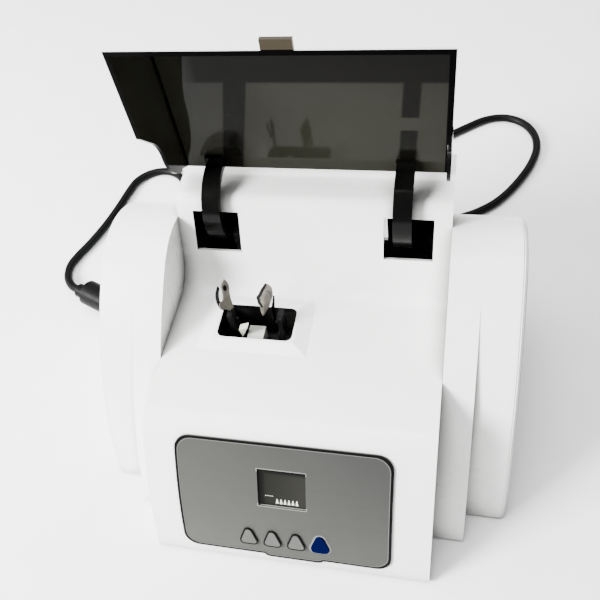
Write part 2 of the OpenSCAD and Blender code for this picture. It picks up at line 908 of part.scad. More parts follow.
module counterweight() {
    color("goldenrod")
    seat()
    on_axis()
    translate([hub_x + 13, 0, 0])
    difference() {
        union() {
            rod_x(shaft_r + 3, 0, 6);
            intersection() {
                rod_x(16, 0, 6);
                block([0, -20, -20], [6, 20, 0]);
            }
        }
        rod_x(shaft_r + run, -1, 7);
    }
}
module skewed() {
    translate([hub_x, 0, 0])
    rotate([0, 0, hub_skew])
    children();
}
module skewed_hub() {
    color("silver")
    seat()
    on_axis()
    difference() {
        skewed() rod_x(hub_r, -6, 6);
        rod_x(shaft_r + run, hub_x - 12, hub_x + 12);
    }
}
race_w = 9;
module inner_race() {
    color("lightgray")
    seat()
    on_axis()
    skewed()
    difference() {
        rotate([0, 90, 0])
        rotate_extrude($fn = 64)
        polygon(concat([[0, -race_w / 2]],
            [for (i = [-4:4]) let (h = race_w / 2 * i / 4) [sqrt(race_r * race_r - h * h), h]],
            [[0, race_w / 2]]));
        rod_x(hub_r + run, -race_w, race_w);
    }
}
module outer_race() {
    color("gray")
    seat()
    on_axis()
    difference() {
        rod_x(outer_race_r, hub_x - 4, hub_x + 4);
        rod_x(race_r + run, hub_x - 8, hub_x + 8);
    }
}

/* Mixing arm: an eye round the race, a neck and two spread bars */
fork_half = fork_gap / 2;
bar_foot_x = 9;
bar_foot_z = eye_r + 1;
bar_knee_z = 38;
bar_top_z = 52;
module slab(half_y, points) {
    translate([0, half_y, 0])
    rotate([90, 0, 0])
    linear_extrude(2 * half_y)
    polygon(points);
}
module fork_bar(side) {
    mirror([side < 0 ? 1 : 0, 0, 0])
    slab(fork_bar_w / 2, [
        [bar_foot_x - fork_bar_t / 2, bar_foot_z], [bar_foot_x + fork_bar_t, bar_foot_z],
        [fork_half + fork_bar_t, bar_knee_z], [fork_half + fork_bar_t, bar_top_z],
        [fork_half, bar_top_z], [fork_half, bar_knee_z]]);
}
spring_far_y = 40;
module mixing_arm() {
    color([0.15, 0.15, 0.16])
    seat()
    on_axis()
    translate([hub_x, 0, 0])
    difference() {
        union() {
            rod_x(eye_r, -eye_w / 2, eye_w / 2);
            block([-eye_w / 2, -fork_bar_w / 2, eye_r - 3], [eye_w / 2, fork_bar_w / 2, eye_r + 3]);
            block([-bar_foot_x - fork_bar_t / 2, -fork_bar_w / 2, eye_r],
                  [bar_foot_x + fork_bar_t / 2, fork_bar_w / 2, eye_r + 4]);
            for (s = [-1, 1])
                fork_bar(s);
            // Lugs that the springs hook on
            for (s = [-1, 1])
                block([-eye_w / 2, s * (eye_r + 1) - 2, -5], [eye_w / 2, s * (eye_r + 1) + 2, 5]);
        }
        rod_x(outer_race_r + run, -eye_w, eye_w);
    }
}
// A prong is a strip on the inside of its bar with an outward claw at the tip
prong_foot_z = bar_top_z - 12;
claw_r = 3;
prong_w = 6.4;
prong_in = fork_half - fit - prong_t;
module prong(side) {
    color("silver")
    seat()
    on_axis()
    translate([hub_x, 0, 0])
    mirror([side < 0 ? 1 : 0, 0, 0])
    slab(prong_w / 2, concat(
        [[prong_in, prong_foot_z]],
        [for (a = [180:-20:0])
            [prong_in + claw_r, prong_h - claw_r] + claw_r * [cos(a), sin(a)]],
        [for (a = [0:20:180])
            [prong_in + claw_r, prong_h - claw_r] + (claw_r - prong_t) * [cos(a), sin(a)]],
        [[prong_in + prong_t, prong_foot_z]]));
}
module prong_left() { prong(-1); }
module prong_right() { prong(1); }
module prong_rivets() {
    color("silver")
    seat()
    on_axis()
    translate([hub_x, 0, 0])
    for (s = [-1, 1])
        translate([s * (prong_in - 0.6), 0, prong_foot_z + 4])
        rod_x(1.2, -0.5, 0.5);
}
// White block seated on the yoke between the bars
module capsule_stop() {
    color("white")
    seat()
    on_axis()
    translate([hub_x, 0, 0])
    block([-6.5, -8, eye_r + 4 + fit], [3.5, 2, eye_r + 15]);
}

/* Springs and cord share one swept tube */
function unit(v) = v / norm(v);
function tangent(path, i) =
    unit(path[min(i + 1, len(path) - 1)] - path[max(i - 1, 0)]);
module tube(path, r, sides, up = [0, 0, 1]) {
    rings = [for (i = [0:len(path) - 1])
        let (t = tangent(path, i), side_way = unit(cross(t, up)), up_way = cross(side_way, t))
        for (k = [0:sides - 1])
            path[i] + r * (cos(360 * k / sides) * side_way + sin(360 * k / sides) * up_way)];
    last = len(path) - 1;
    faces = concat(
        [[for (k = [0:sides - 1]) k]],
        [for (i = [0:last - 1], k = [0:sides - 1]) let (n = (k + 1) % sides)
            [i * sides + k, (i + 1) * sides + k, (i + 1) * sides + n]],
        [for (i = [0:last - 1], k = [0:sides - 1]) let (n = (k + 1) % sides)
            [i * sides + k, (i + 1) * sides + n, i * sides + n]],
        [[for (k = [sides - 1:-1:0]) last * sides + k]]);
    polyhedron(points = rings, faces = faces, convexity = 10);
}
turn_rings = 8;
spring_from_y = eye_r + 4;
spring_span = spring_far_y - spring_from_y - 1;
spring_rings = spring_turns * turn_rings;
function spring_path(side) = [for (i = [0:spring_rings]) let (a = 360 * i / turn_rings)
    [spring_r * cos(a), side * (spring_from_y + spring_span * i / spring_rings),
     spring_r * sin(a)]];
module arm_spring(side) {
    color("lightgray")
    seat()
    on_axis()
    translate([hub_x, 0, 0])
    tube(spring_path(side), spring_wire_r, 6, [0, 1, 0]);
}
module spring_front() { arm_spring(-1); }
module spring_rear() { arm_spring(1); }

/* Motor frame on its rubber mounts */
frame_x = [-42, 70];
frame_half_y = 46;
saddle_w = 6;
saddle_x = [motor_x + 6, motor_x + motor_l - 6 - saddle_w];
mount_places = [for (x = [frame_x[0] + 9, frame_x[1] - 9], s = [-1, 1])
    [x, frame_y + s * (frame_half_y - 9)]];
module motor_frame() {
    color("darkgray")
    seat()
    difference() {
        union() {
            block([frame_x[0], frame_y - frame_half_y, frame_z],
                  [frame_x[1], frame_y + frame_half_y, frame_z + frame_t]);
            for (x = saddle_x)
                block([x, frame_y - motor_r - 4, frame_z],
                      [x + saddle_w, frame_y + motor_r + 4, motor_z - 2]);
            // Posts for the arm springs
            for (s = [-1, 1])
                block([hub_x - 4, frame_y + s * (spring_far_y + 1.5) - 1.5, frame_z],
                      [hub_x + 4, frame_y + s * (spring_far_y + 1.5) + 1.5, motor_z + 6]);
            // Bosses that the transit screws reach
            for (s = [-1, 1])
                translate([transit_x, frame_y + s * transit_pitch / 2, frame_z - 4])
                cylinder(r = 5, h = 4 + frame_t);
        }
        translate([0, frame_y, motor_z])
        rod_x(motor_r + run, frame_x[0], frame_x[1]);
        for (s = [-1, 1])
            translate([transit_x, frame_y + s * transit_pitch / 2, 0])
            cylinder(r = transit_r - 0.4, h = 30);
    }
}
module motor_straps() {
    color("silver")
    seat()
    for (x = saddle_x)
        difference() {
            translate([0, frame_y, motor_z])
            union() {
                rod_x(motor_r + 1.5, x, x + saddle_w);
                block([x, -motor_r - 4, -1.8], [x + saddle_w, motor_r + 4, 0]);
            }
            translate([0, frame_y, motor_z])
            rod_x(motor_r + run, x - 1, x + saddle_w + 1);
            block([x - 1, frame_y - 60, 0], [x + saddle_w + 1, frame_y + 60, motor_z - 1.8]);
        }
}
module rubber_mounts() {
    color([0.2, 0.2, 0.2])
    seat()
    for (p = mount_places)
        translate([p[0], p[1], foot_gap + base_t + fit / 2])
        cylinder(r = mount_r, h = mount_h);
}

/* Supply */
bay_y = 120;
module transformer() {
    x = -cap_x + wall + ear_rim_r / 2 + 2;
    color("darkgray")
    seat()
    union() {
        block([x, bay_y - 22, foot_gap + wall + fit], [x + 32, bay_y + 22, foot_gap + wall + 42]);
        block([x + 6, bay_y - 28, foot_gap + wall + 8], [x + 28, bay_y + 28, foot_gap + wall + 34]);
    }
}
power_board_z = foot_gap + wall + 6;
module power_board() {
    x = ring_x - 12;
    color("darkgreen")
    seat()
    union() {
        block([x, bay_y - 32, power_board_z], [cap_x - 6, bay_y + 40, power_board_z + board_t]);
        for (y = [-28, 36])
            translate([x + 4, bay_y + y, foot_gap + wall + fit])
            cylinder(r = 2.5, h = 6);
    }
}
module capacitors() {
    color("navy")
    seat()
    for (p = [[0, 0, 9, 30], [0, 24, 6, 20], [0, -20, 5, 14]])
        translate([ring_x + 7 + p[0], bay_y + p[1], power_board_z + board_t + 0.1])
        cylinder(r = p[2], h = p[3]);
}
module switch_frame() {
    t = 1.5;
    color("black")
    seat()
    translate([switch_x, pocket_floor_y, pocket_z])
    difference() {
        union() {
            block([-switch_w / 2 + fit, -14, -switch_h / 2 + fit],
                  [switch_w / 2 - fit, 0.2, switch_h / 2 - fit]);
            block([-switch_w / 2 - 2, 0.2, -switch_h / 2 - 2],
                  [switch_w / 2 + 2, 0.2 + t, switch_h / 2 + 2]);
        }
        block([-switch_w / 2 + 1.6, -7, -switch_h / 2 + 1.6],
              [switch_w / 2 - 1.6, 5, switch_h / 2 - 1.6]);
        translate([0, -1, 0])
        rod_x(rocker_pin_r + run, 1 - switch_w / 2, switch_w / 2 - 1);
    }
}
rocker_len = switch_h - 3.2 - 2.4;
rocker_pin_r = 1.2;
module power_rocker() {
    color("dimgray")
    seat()
    translate([switch_x, pocket_floor_y - 1, pocket_z])
    rotate([rocker_tilt, 0, 0])
    union() {
        across(-switch_w / 2 + 2.1, switch_w / 2 - 2.1)
        polygon([[-3.2, -3], [-3.2, 3], [-0.5, rocker_len / 2], [2.6, rocker_len / 2 - 0.4],
                 [1.8, 0], [2.6, -rocker_len / 2 + 0.4], [-0.5, -rocker_len / 2]]);
        rod_x(rocker_pin_r, 1.1 - switch_w / 2, switch_w / 2 - 1.1);
    }
}
module fuse_holder() {
    color("black")
    seat()
    translate([fuse_x, pocket_floor_y, pocket_z])
    union() {
        rod_y(fuse_r - fit, -22, 0.3);
        rod_y(fuse_r + 1.6, 0.3, 2.3);
        rod_y(fuse_r - 0.6, 2, 4.6);
        block([-0.8, 4, -fuse_r + 1.5], [0.8, 5.2, fuse_r - 1.5]);
    }
}

/* Mains lead, lying on the table behind and beside the machine.
   Points are x, y from the front edge, and z, ending at the plug. */
cord_r = cord_d / 2;
lead_route = [
    [70, 246, 14], [71, 260, 11.5], [77, 273, 7.5], [88, 284, 4.5], [101, 292, 3.5],
    [114, 302, 3.5], [125, 315, 3.5], [135, 331, 3.5], [144, 350, 3.5], [149, 370, 3.5],
    [147, 388, 3.5], [138, 402, 3.5], [123, 409, 3.5], [106, 406, 3.5], [88, 394, 3.5],
    [66, 377, 3.5], [40, 357, 3.5], [14, 339, 3.5], [-8, 329, 3.5], [-30, 326, 3.5]];
tail_route = [
    [-48, 321.2, 33], [-62, 313, 32], [-77, 303.5, 27], [-94, 290, 17], [-111, 279, 7],
    [-125, 275.5, 4], [-138, 279, 3.5], [-147.5, 288.5, 3.5], [-151, 301.5, 3.5],
    [-154.5, 315, 3.5], [-164, 325, 3.5], [-177, 329, 3.5], [-190, 325.5, 3.5],
    [-199.5, 316, 3.5], [-203.5, 302, 3.5], [-206.5, 283, 3.5], [-211, 262, 3.5],
    [-217.5, 241, 3.5], [-225, 222, 3.5], [-226.7, 211.5, 3.5], [-224, 201, 3.5],
    [-217, 192.6, 4.3], [-207.5, 187.5, 6]];
coil_mid = [-30, 290];
coil_r = 36;
coil_turns = 4;
coil_last = 30;
coil_rise = (33 - 3.5) / (coil_turns + coil_last / 360);
function spline(p, i, t) =
    let (a = p[max(i - 1, 0)], b = p[i], c = p[i + 1], d = p[min(i + 2, len(p) - 1)])
    0.5 * (2 * b + (c - a) * t + (2 * a - 5 * b + 4 * c - d) * t * t
        + (3 * b - a - 3 * c + d) * t * t * t);
function smooth_path(route, per_span) = concat(
    [for (i = [0:len(route) - 2], k = [0:per_span - 1]) spline(route, i, k / per_span)],
    [route[len(route) - 1]]);
coil_rings = 24 * coil_turns + coil_last / 15;
coil_path = [for (i = [0:coil_rings]) let (a = 90 + 15 * i)
    [coil_mid[0] + coil_r * cos(a), coil_mid[1] + coil_r * sin(a), 3.5 + coil_rise * i / 24]];
module power_cord() {
    color([0.07, 0.07, 0.07])
    seat()
    tube(smooth_path(lead_route, 2), cord_r, 8);
}
module cord_coil() {
    color([0.07, 0.07, 0.07])
    seat()
    tube(coil_path, cord_r, 6);
}
module cord_tail() {
    color([0.07, 0.07, 0.07])
    seat()
    tube(smooth_path(tail_route, 2), cord_r, 8);
}
// Least free space between turns, measured on the points
function least_gap(path, r, per_turn) =
    min([for (i = [0:len(path) - 1], j = [i + per_turn / 2:1:len(path) - 1])
        norm(path[i] - path[j])]) - 2 * r;
echo(coil_gap = least_gap(coil_path, cord_r, 24));
echo(spring_gap = least_gap(spring_path(1), spring_wire_r, turn_rings));
module strain_relief() {
    color([0.1, 0.1, 0.1])
    seat()
    translate([gland_x, 0, gland_z])
    union() {
        rod_y(gland_r - fit, body_depth - wall - 3, body_depth + fit);
        rod_y(gland_r + 3, body_depth + fit, body_depth + 3);
        translate([0, body_depth + 3 - eps, 0])
        rotate([-90, 0, 0])
        cylinder(r1 = gland_r, r2 = cord_r + 0.8, h = relief_l - 3);
        rod_y(gland_r + 2, body_depth - wall - 5, body_depth - wall - fit);
    }
}
plug_end = tail_route[len(tail_route) - 1];
plug_heading = -22;
plug_r = 10;
module at_plug() {
    translate([plug_end[0], plug_end[1], plug_r + 0.2])
    rotate([0, 0, plug_heading])
    children();
}
module plug_body() {
    color([0.09, 0.09, 0.09])
    seat()
    at_plug()
    union() {
        translate([0, 0, -plug_r + 6])
        rod_x(5.6, 0.1, 14);
        rod_x(plug_r, 12, 40);
        rod_x(plug_r - 1, 39, 43);
    }
}
module plug_pins() {
    color("silver")
    seat()
    at_plug()
    for (s = [-1, 1])
        translate([0, s * 6, 0])
        rod_x(2, 43 + run, 58);
}

upper_shell();
base_plate();
inner_band_left();
inner_band_right();
end_cap_left();
end_cap_right();
feet();
foot_screws();
control_panel();
display_lens();
display_module();
key_mode();
key_minus();
key_plus();
key_start();
control_board();
key_switches();
board_screws();
lid();
lid_arm_left();
lid_arm_right();
hinge_brackets();
hinge_pins();
lid_switch();
well_liner();
motor_can();
stator();
front_bell();
rear_bell();
motor_bearings();
rotor_shaft();
rotor_core();
fan();
counterweight();
skewed_hub();
inner_race();
outer_race();
mixing_arm();
prong_left();
prong_right();
prong_rivets();
capsule_stop();
spring_front();
spring_rear();
motor_frame();
motor_straps();
rubber_mounts();
transformer();
power_board();
capacitors();
switch_frame();
power_rocker();
fuse_holder();
strain_relief();
power_cord();
cord_coil();
cord_tail();
plug_body();
plug_pins();
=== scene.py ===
import math

import bmesh
import bpy
from mathutils import Matrix, Vector, geometry


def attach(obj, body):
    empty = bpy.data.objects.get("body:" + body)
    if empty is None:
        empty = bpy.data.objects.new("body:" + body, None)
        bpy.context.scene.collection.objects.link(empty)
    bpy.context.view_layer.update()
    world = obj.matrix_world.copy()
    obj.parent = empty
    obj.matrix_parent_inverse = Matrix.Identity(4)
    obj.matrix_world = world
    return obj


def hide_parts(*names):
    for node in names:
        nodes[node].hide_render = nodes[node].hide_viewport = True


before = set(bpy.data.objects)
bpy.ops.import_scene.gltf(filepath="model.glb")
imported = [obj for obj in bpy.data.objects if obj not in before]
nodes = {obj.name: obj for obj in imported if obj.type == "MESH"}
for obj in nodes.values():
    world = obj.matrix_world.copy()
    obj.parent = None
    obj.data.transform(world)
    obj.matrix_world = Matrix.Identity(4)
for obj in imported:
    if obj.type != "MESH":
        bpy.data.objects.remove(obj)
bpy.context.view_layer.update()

# Lengths are millimetres with Y measured back from the front edge, as in the part's source.
# The shaders, the studio and CORD_DIAMETER are in metres, in the frame's own axes.
FRONT_TO_MIDDLE = 108.344


def at(x, y, z):
    return Vector((x, y - FRONT_TO_MIDDLE, z)) / 1000


# Camera, fitted to the photograph
CAMERA_PLACE = (83.38, -116.98, 433.44)
CAMERA_YAW, CAMERA_PITCH, CAMERA_ROLL = 19.56, 52.5, -12.01
CAMERA_LENS, CAMERA_SENSOR = 42.61, 36


def add_camera():
    yaw, pitch, roll = (math.radians(a) for a in (CAMERA_YAW, CAMERA_PITCH, CAMERA_ROLL))
    forward = Vector((-math.sin(yaw) * math.cos(pitch), math.cos(yaw) * math.cos(pitch),
                      -math.sin(pitch)))
    level = Vector((math.cos(yaw), math.sin(yaw), 0))
    above = level.cross(forward)
    right = level * math.cos(roll) + above * math.sin(roll)
    up = above * math.cos(roll) - level * math.sin(roll)
    data = bpy.data.cameras.new("photo_camera")
    data.sensor_width = CAMERA_SENSOR
    data.lens = CAMERA_LENS
    camera = bpy.data.objects.new("photo_camera", data)
    turn = Matrix((right, up, -forward)).transposed().to_4x4()
    camera.matrix_world = Matrix.Translation(at(*CAMERA_PLACE)) @ turn
    bpy.context.scene.collection.objects.link(camera)
    bpy.context.scene.camera = camera


add_camera()


# Shader building
def new_material(name):
    material = bpy.data.materials.new(name)
    material.use_nodes = True
    tree = material.node_tree
    tree.nodes.clear()
    output = tree.nodes.new("ShaderNodeOutputMaterial")
    shader = tree.nodes.new("ShaderNodeBsdfPrincipled")
    tree.links.new(shader.outputs[0], output.inputs["Surface"])
    return material, tree, shader


def noise(tree, scale, detail, stretch=None):
    place = tree.nodes.new("ShaderNodeTexCoord")
    source = place.outputs["Object"]
    if stretch:
        mapping = tree.nodes.new("ShaderNodeMapping")
        mapping.inputs["Scale"].default_value = stretch
        tree.links.new(source, mapping.inputs["Vector"])
        source = mapping.outputs["Vector"]
    texture = tree.nodes.new("ShaderNodeTexNoise")
    texture.inputs["Scale"].default_value = scale
    texture.inputs["Detail"].default_value = detail
    tree.links.new(source, texture.inputs["Vector"])
    return texture.outputs["Fac"]


def ramp(tree, source, low, high, start=0.35, end=0.65):
    """From low to high while the source goes from start to end. The defaults suit a noise."""
    node = tree.nodes.new("ShaderNodeMapRange")
    node.inputs["From Min"].default_value = start
    node.inputs["From Max"].default_value = end
    node.inputs["To Min"].default_value = low
    node.inputs["To Max"].default_value = high
    tree.links.new(source, node.inputs["Value"])
    return node.outputs["Result"]


def rising(tree, source, start, end):
    return ramp(tree, source, 0, 1, start, end)


def falling(tree, source, start, end):
    return ramp(tree, source, 1, 0, start, end)


def maths(tree, operation, first, second=0.0):
    node = tree.nodes.new("ShaderNodeMath")
    node.operation = operation
    for socket, value in zip(node.inputs, (first, second)):
        if isinstance(value, (int, float)):
            socket.default_value = value
        else:
            tree.links.new(value, socket)
    return node.outputs[0]


def both(tree, first, second):
    return maths(tree, "MULTIPLY", first, second)


def either(tree, first, second):
    return maths(tree, "MAXIMUM", first, second)


def between(tree, source, low, high, soft):
    """1 where the source lies between low and high."""
    return both(tree, rising(tree, source, low - soft, low + soft),
                falling(tree, source, high - soft, high + soft))


def leaning(tree, source, other, slope):
    """A coordinate whose lines lean: source plus slope times other."""
    return maths(tree, "ADD", source, both(tree, other, slope))


def parts(tree, vector):
    split = tree.nodes.new("ShaderNodeSeparateXYZ")
    tree.links.new(vector, split.inputs[0])
    return tuple(split.outputs)


def object_parts(tree, output="Object"):
    """x, y and z of the place in metres ("Object") or of the direction ("Normal")."""
    return parts(tree, tree.nodes.new("ShaderNodeTexCoord").outputs[output])


def blend(tree, factor, first, second):
    """First colour at 0, second at 1; each is a tuple or a socket."""
    node = tree.nodes.new("ShaderNodeMix")
    node.data_type = "RGBA"
    tree.links.new(factor, node.inputs["Factor"])
    colour_a, colour_b, colour_result = node.inputs[6], node.inputs[7], node.outputs[2]
    for socket, value in ((colour_a, first), (colour_b, second)):
        if isinstance(value, tuple):
            socket.default_value = (*value, 1)
        else:
            tree.links.new(value, socket)
    return colour_result


def link_colour(tree, shader, colour):
    tree.links.new(colour, shader.inputs["Base Color"])


def patchy_gloss(tree, shader, scale, detail, rough, stretch=None):
    tree.links.new(ramp(tree, noise(tree, scale, detail, stretch), *rough),
                   shader.inputs["Roughness"])


def fine_grain(tree, shader, scale, strength, depth, detail=2.0, stretch=None):
    node = tree.nodes.new("ShaderNodeBump")
    node.inputs["Strength"].default_value = strength
    node.inputs["Distance"].default_value = depth
    tree.links.new(noise(tree, scale, detail, stretch), node.inputs["Height"])
    tree.links.new(node.outputs["Normal"], shader.inputs["Normal"])


def set_shine(shader, shine):
    shader.inputs["Specular IOR Level"].default_value = shine


# Pairs are the start and the end of a soft step.
EDGE_POINTINESS = (0.53, 0.6)
SECOND_TONE = 0.9
PLASTIC_IOR, SMOKE_IOR = 1.5, 1.47


def surface(name, colour, second=None, rough=(0.3, 0.4), metal=0.0, grain=900, depth=0.00004,
            patch=40, stretch=None, strength=0.25, worn=None, shine=0.5):
    """A moulded, painted or machined finish: two colours in soft patches, fine grain, changing
    gloss, and a third colour on worn edges."""
    material, tree, shader = new_material(name)
    second = second or tuple(c * SECOND_TONE for c in colour)
    tone = blend(tree, ramp(tree, noise(tree, patch, 4.0, stretch), 0, 1), colour, second)
    if worn:
        shape = tree.nodes.new("ShaderNodeNewGeometry")
        tone = blend(tree, rising(tree, shape.outputs["Pointiness"], *EDGE_POINTINESS), tone, worn)
    link_colour(tree, shader, tone)
    patchy_gloss(tree, shader, patch * 3, 5.0, rough, stretch)
    fine_grain(tree, shader, grain, strength, depth, stretch=stretch)
    shader.inputs["Metallic"].default_value = metal
    shader.inputs["IOR"].default_value = PLASTIC_IOR
    set_shine(shader, shine)
    return material


# Plain finishes
outline_black = surface("printed_black", (0.0015, 0.0015, 0.0015), rough=(0.5, 0.6), grain=2600,
                        shine=0.05)
outline_dark = surface("printed_dark", (0.004, 0.004, 0.004), rough=(0.5, 0.6), grain=2600,
                       shine=0.05)
line_grey = surface("printed_line", (0.085, 0.086, 0.08), rough=(0.45, 0.55), grain=2600)
outline_light = surface("printed_light", (0.15, 0.152, 0.14), rough=(0.4, 0.5), grain=2600)
key_grey = surface("key_grey", (0.074, 0.0755, 0.069), (0.062, 0.0635, 0.058), (0.45, 0.55),
                   grain=2600, depth=0.00003, shine=0.2)
key_blue = surface("key_blue", (0.0, 0.0018, 0.030), (0.0, 0.0014, 0.025), (0.6, 0.7),
                   grain=2600, depth=0.00003, shine=0.0)
segment_light = surface("display_segments", (0.62, 0.62, 0.55))
gloss_black = surface("gloss_black", (0.0012, 0.0012, 0.0012), (0.0022, 0.0022, 0.002),
                      (0.12, 0.2), grain=500, depth=0.00002, shine=0.08)
matt_black = surface("matt_black", (0.0022, 0.0022, 0.0022), (0.004, 0.004, 0.0038),
                     (0.5, 0.65), grain=1200, shine=0.2)
cord_black = surface("lead_black", (0.0018, 0.0018, 0.0018), (0.003, 0.003, 0.003),
                     (0.36, 0.48), grain=1500, shine=0.06)
rubber = surface("rubber", (0.006, 0.006, 0.006), (0.009, 0.009, 0.009), (0.7, 0.85),
                 grain=1100, strength=0.5, shine=0.2)
base_paint = surface("base_paint", (0.45, 0.45, 0.44), (0.4, 0.4, 0.39), (0.35, 0.5),
                     grain=1500, worn=(0.6, 0.6, 0.6))
sheet_steel = surface("sheet_steel", (0.5, 0.5, 0.5), (0.42, 0.42, 0.42), (0.22, 0.38),
                      metal=1.0, grain=700, patch=60, stretch=(1, 1, 12), depth=0.00003)
turned_steel = surface("turned_steel", (0.55, 0.55, 0.55), (0.48, 0.48, 0.48), (0.18, 0.3),
                       metal=1.0, patch=90, stretch=(14, 1, 1))
dark_steel = surface("dark_steel", (0.035, 0.034, 0.032), (0.022, 0.022, 0.021), (0.3, 0.5),
                     metal=1.0, grain=600, patch=50)
cast_alloy = surface("cast_alloy", (0.42, 0.42, 0.43), (0.36, 0.36, 0.37), (0.4, 0.6),
                     metal=1.0, grain=800, depth=0.0001, strength=0.5)
dark_arm = surface("blackened_alloy", (0.010, 0.010, 0.011), (0.006, 0.006, 0.007),
                   (0.3, 0.5), metal=0.6, grain=800)
brass = surface("brass", (0.55, 0.38, 0.13), (0.45, 0.31, 0.11), (0.22, 0.38), metal=1.0,
                patch=60)
block_white = surface("block_white", (0.62, 0.62, 0.58), (0.5, 0.5, 0.46), (0.4, 0.55),
                      grain=1200)
board_green = surface("board_green", (0.012, 0.1, 0.035), (0.008, 0.07, 0.025), (0.25, 0.4),
                      patch=120)
display_body = surface("display_body", (0.2, 0.22, 0.17), rough=(0.4, 0.5))
pale_steel = surface("pale_steel", (0.19, 0.175, 0.145), (0.10, 0.09, 0.075), (0.34, 0.46),
                     metal=0.55, grain=500, patch=160, depth=0.00005)
wedge_white = surface("wedge_white", (0.56, 0.58, 0.46), (0.5, 0.52, 0.41), (0.4, 0.55),
                      grain=1200)
sleeve_blue = surface("sleeve_blue", (0.015, 0.03, 0.14), (0.01, 0.02, 0.1), (0.2, 0.3),
                      grain=600)

# Finishes that change from place to place
# Painted shade: the film is made lighter at its lower left and darker at its upper right.
FILM_ACROSS, FILM_UP = (-0.064, 0.062), (0.012, 0.078)
FILM_LIGHT, FILM_DARK = (0.0540, 0.0556, 0.0486), (0.0262, 0.0270, 0.0258)
FILM_SPECK = (0.10, 0.10, 0.092)


def make_panel_film():
    """Grey film with painted shade: lighter at its lower left and darker at its upper right."""
    material, tree, shader = new_material("panel_film_shaded")
    x, _, z = object_parts(tree)
    across, rise = ramp(tree, x, 0, 0.45, *FILM_ACROSS), ramp(tree, z, 0, 0.55, *FILM_UP)
    tone = blend(tree, maths(tree, "ADD", across, rise), FILM_LIGHT, FILM_DARK)
    speck = ramp(tree, noise(tree, 5200, 1.0), 0, 0.10, 0.4, 0.6)
    link_colour(tree, shader, blend(tree, speck, tone, FILM_SPECK))
    patchy_gloss(tree, shader, scale=60, detail=4.0, rough=(0.42, 0.54))
    fine_grain(tree, shader, scale=2600, strength=0.3, depth=0.00003)
    set_shine(shader, 0.14)
    return material


LENS_ACROSS = (-0.012, 0.010)
LENS_LEFT_SHADE, LENS_TOP_SHADE = (-0.0128, -0.0108), (0.0605, 0.0625)
LENS_DARK, LENS_LIGHT = (0.0075, 0.0078, 0.0062), (0.0150, 0.0150, 0.0125)
LENS_SPECK, LENS_SHADED = (0.012, 0.0122, 0.0098), (0.003, 0.003, 0.003)


def make_display_lens():
    """Dark display, lighter to the right; black at the left and the top, where the edge of
    its window shades it."""
    material, tree, shader = new_material("display_lens_shaded")
    x, _, z = object_parts(tree)
    tone = blend(tree, rising(tree, x, *LENS_ACROSS), LENS_DARK, LENS_LIGHT)
    speck = ramp(tree, noise(tree, 1500, 2.0), 0, 0.25, 0.45, 0.65)
    tone = blend(tree, speck, tone, LENS_SPECK)
    shaded = either(tree, falling(tree, x, *LENS_LEFT_SHADE), rising(tree, z, *LENS_TOP_SHADE))
    link_colour(tree, shader, blend(tree, shaded, tone, LENS_SHADED))
    patchy_gloss(tree, shader, scale=80, detail=3.0, rough=(0.16, 0.24))
    fine_grain(tree, shader, scale=300, strength=0.1, depth=0.00001)
    set_shine(shader, 0.05)
    return material


# The lid stands open in the frame, so its front end is up: places are those of the open lid.
# Painted reflections: the dark strip along the lid's front end and the two slanting stripes on its
# inner face.
LID_REFLECTION_STRIP, LID_REFLECTION_STRIP_LEFT_END = (0.2052, 0.2068), (-0.066, -0.056)
LEFT_REFLECTION_BAND, LEFT_REFLECTION_SLOPE = (-0.0875, -0.0745), -0.22
RIGHT_REFLECTION_BAND, RIGHT_REFLECTION_SLOPE = (0.0418, 0.0512), -0.06
RIGHT_REFLECTION_BREAK_TOP, RIGHT_REFLECTION_BREAK_FOOT = (0.1835, 0.1843), (0.1748, 0.1756)
LID_FRONT_END, LID_NEAR_EDGE = (0.2240, 0.2246), (0.0405, 0.0410)
LID_SIDE_WALL, LID_TAB = (0.0765, 0.0770), (0.2532, 0.2536)
# Steps of a normal's part along Y: inner faces look to the front, below 0
LID_INNER_FACE, LID_RIM_FACE, LID_WALL_FACE = (-0.2, 0.2), (-0.4, -0.3), (0.3, 0.5)
LID_WALL_SIDEWAYS = (0.4, 0.5)
SMOKE_LIGHT, SMOKE_DARK = (0.0125, 0.0125, 0.0088), (0.0088, 0.0088, 0.0062)
REFLECTION_COLOUR, RIM_SHADE = (0.0022, 0.0022, 0.0016), (0.0003, 0.0003, 0.0003)
TAB_COLOUR = (0.030, 0.025, 0.017)
LID_SHINE, RIM_SHINE, REFLECTION_SHINE_SHARE = 0.1, 0.02, 0.56
REFLECTION_SOFTNESS = 0.0007


def lid_painted_reflections(tree, x, z, facing_y):
    """Painted reflections: the deep strip along the front end and the two slanting stripes, on the
    inner face only.
    """
    strip = both(tree, rising(tree, z, *LID_REFLECTION_STRIP), rising(tree, x, *LID_REFLECTION_STRIP_LEFT_END))
    left = between(tree, leaning(tree, x, z, LEFT_REFLECTION_SLOPE), *LEFT_REFLECTION_BAND,
                   REFLECTION_SOFTNESS)
    right = between(tree, leaning(tree, x, z, RIGHT_REFLECTION_SLOPE), *RIGHT_REFLECTION_BAND,
                    REFLECTION_SOFTNESS)
    unbroken = either(tree, rising(tree, z, *RIGHT_REFLECTION_BREAK_TOP),
                      falling(tree, z, *RIGHT_REFLECTION_BREAK_FOOT))
    reflection_mask = either(tree, either(tree, strip, left), both(tree, right, unbroken))
    return both(tree, reflection_mask, falling(tree, facing_y, *LID_INNER_FACE))


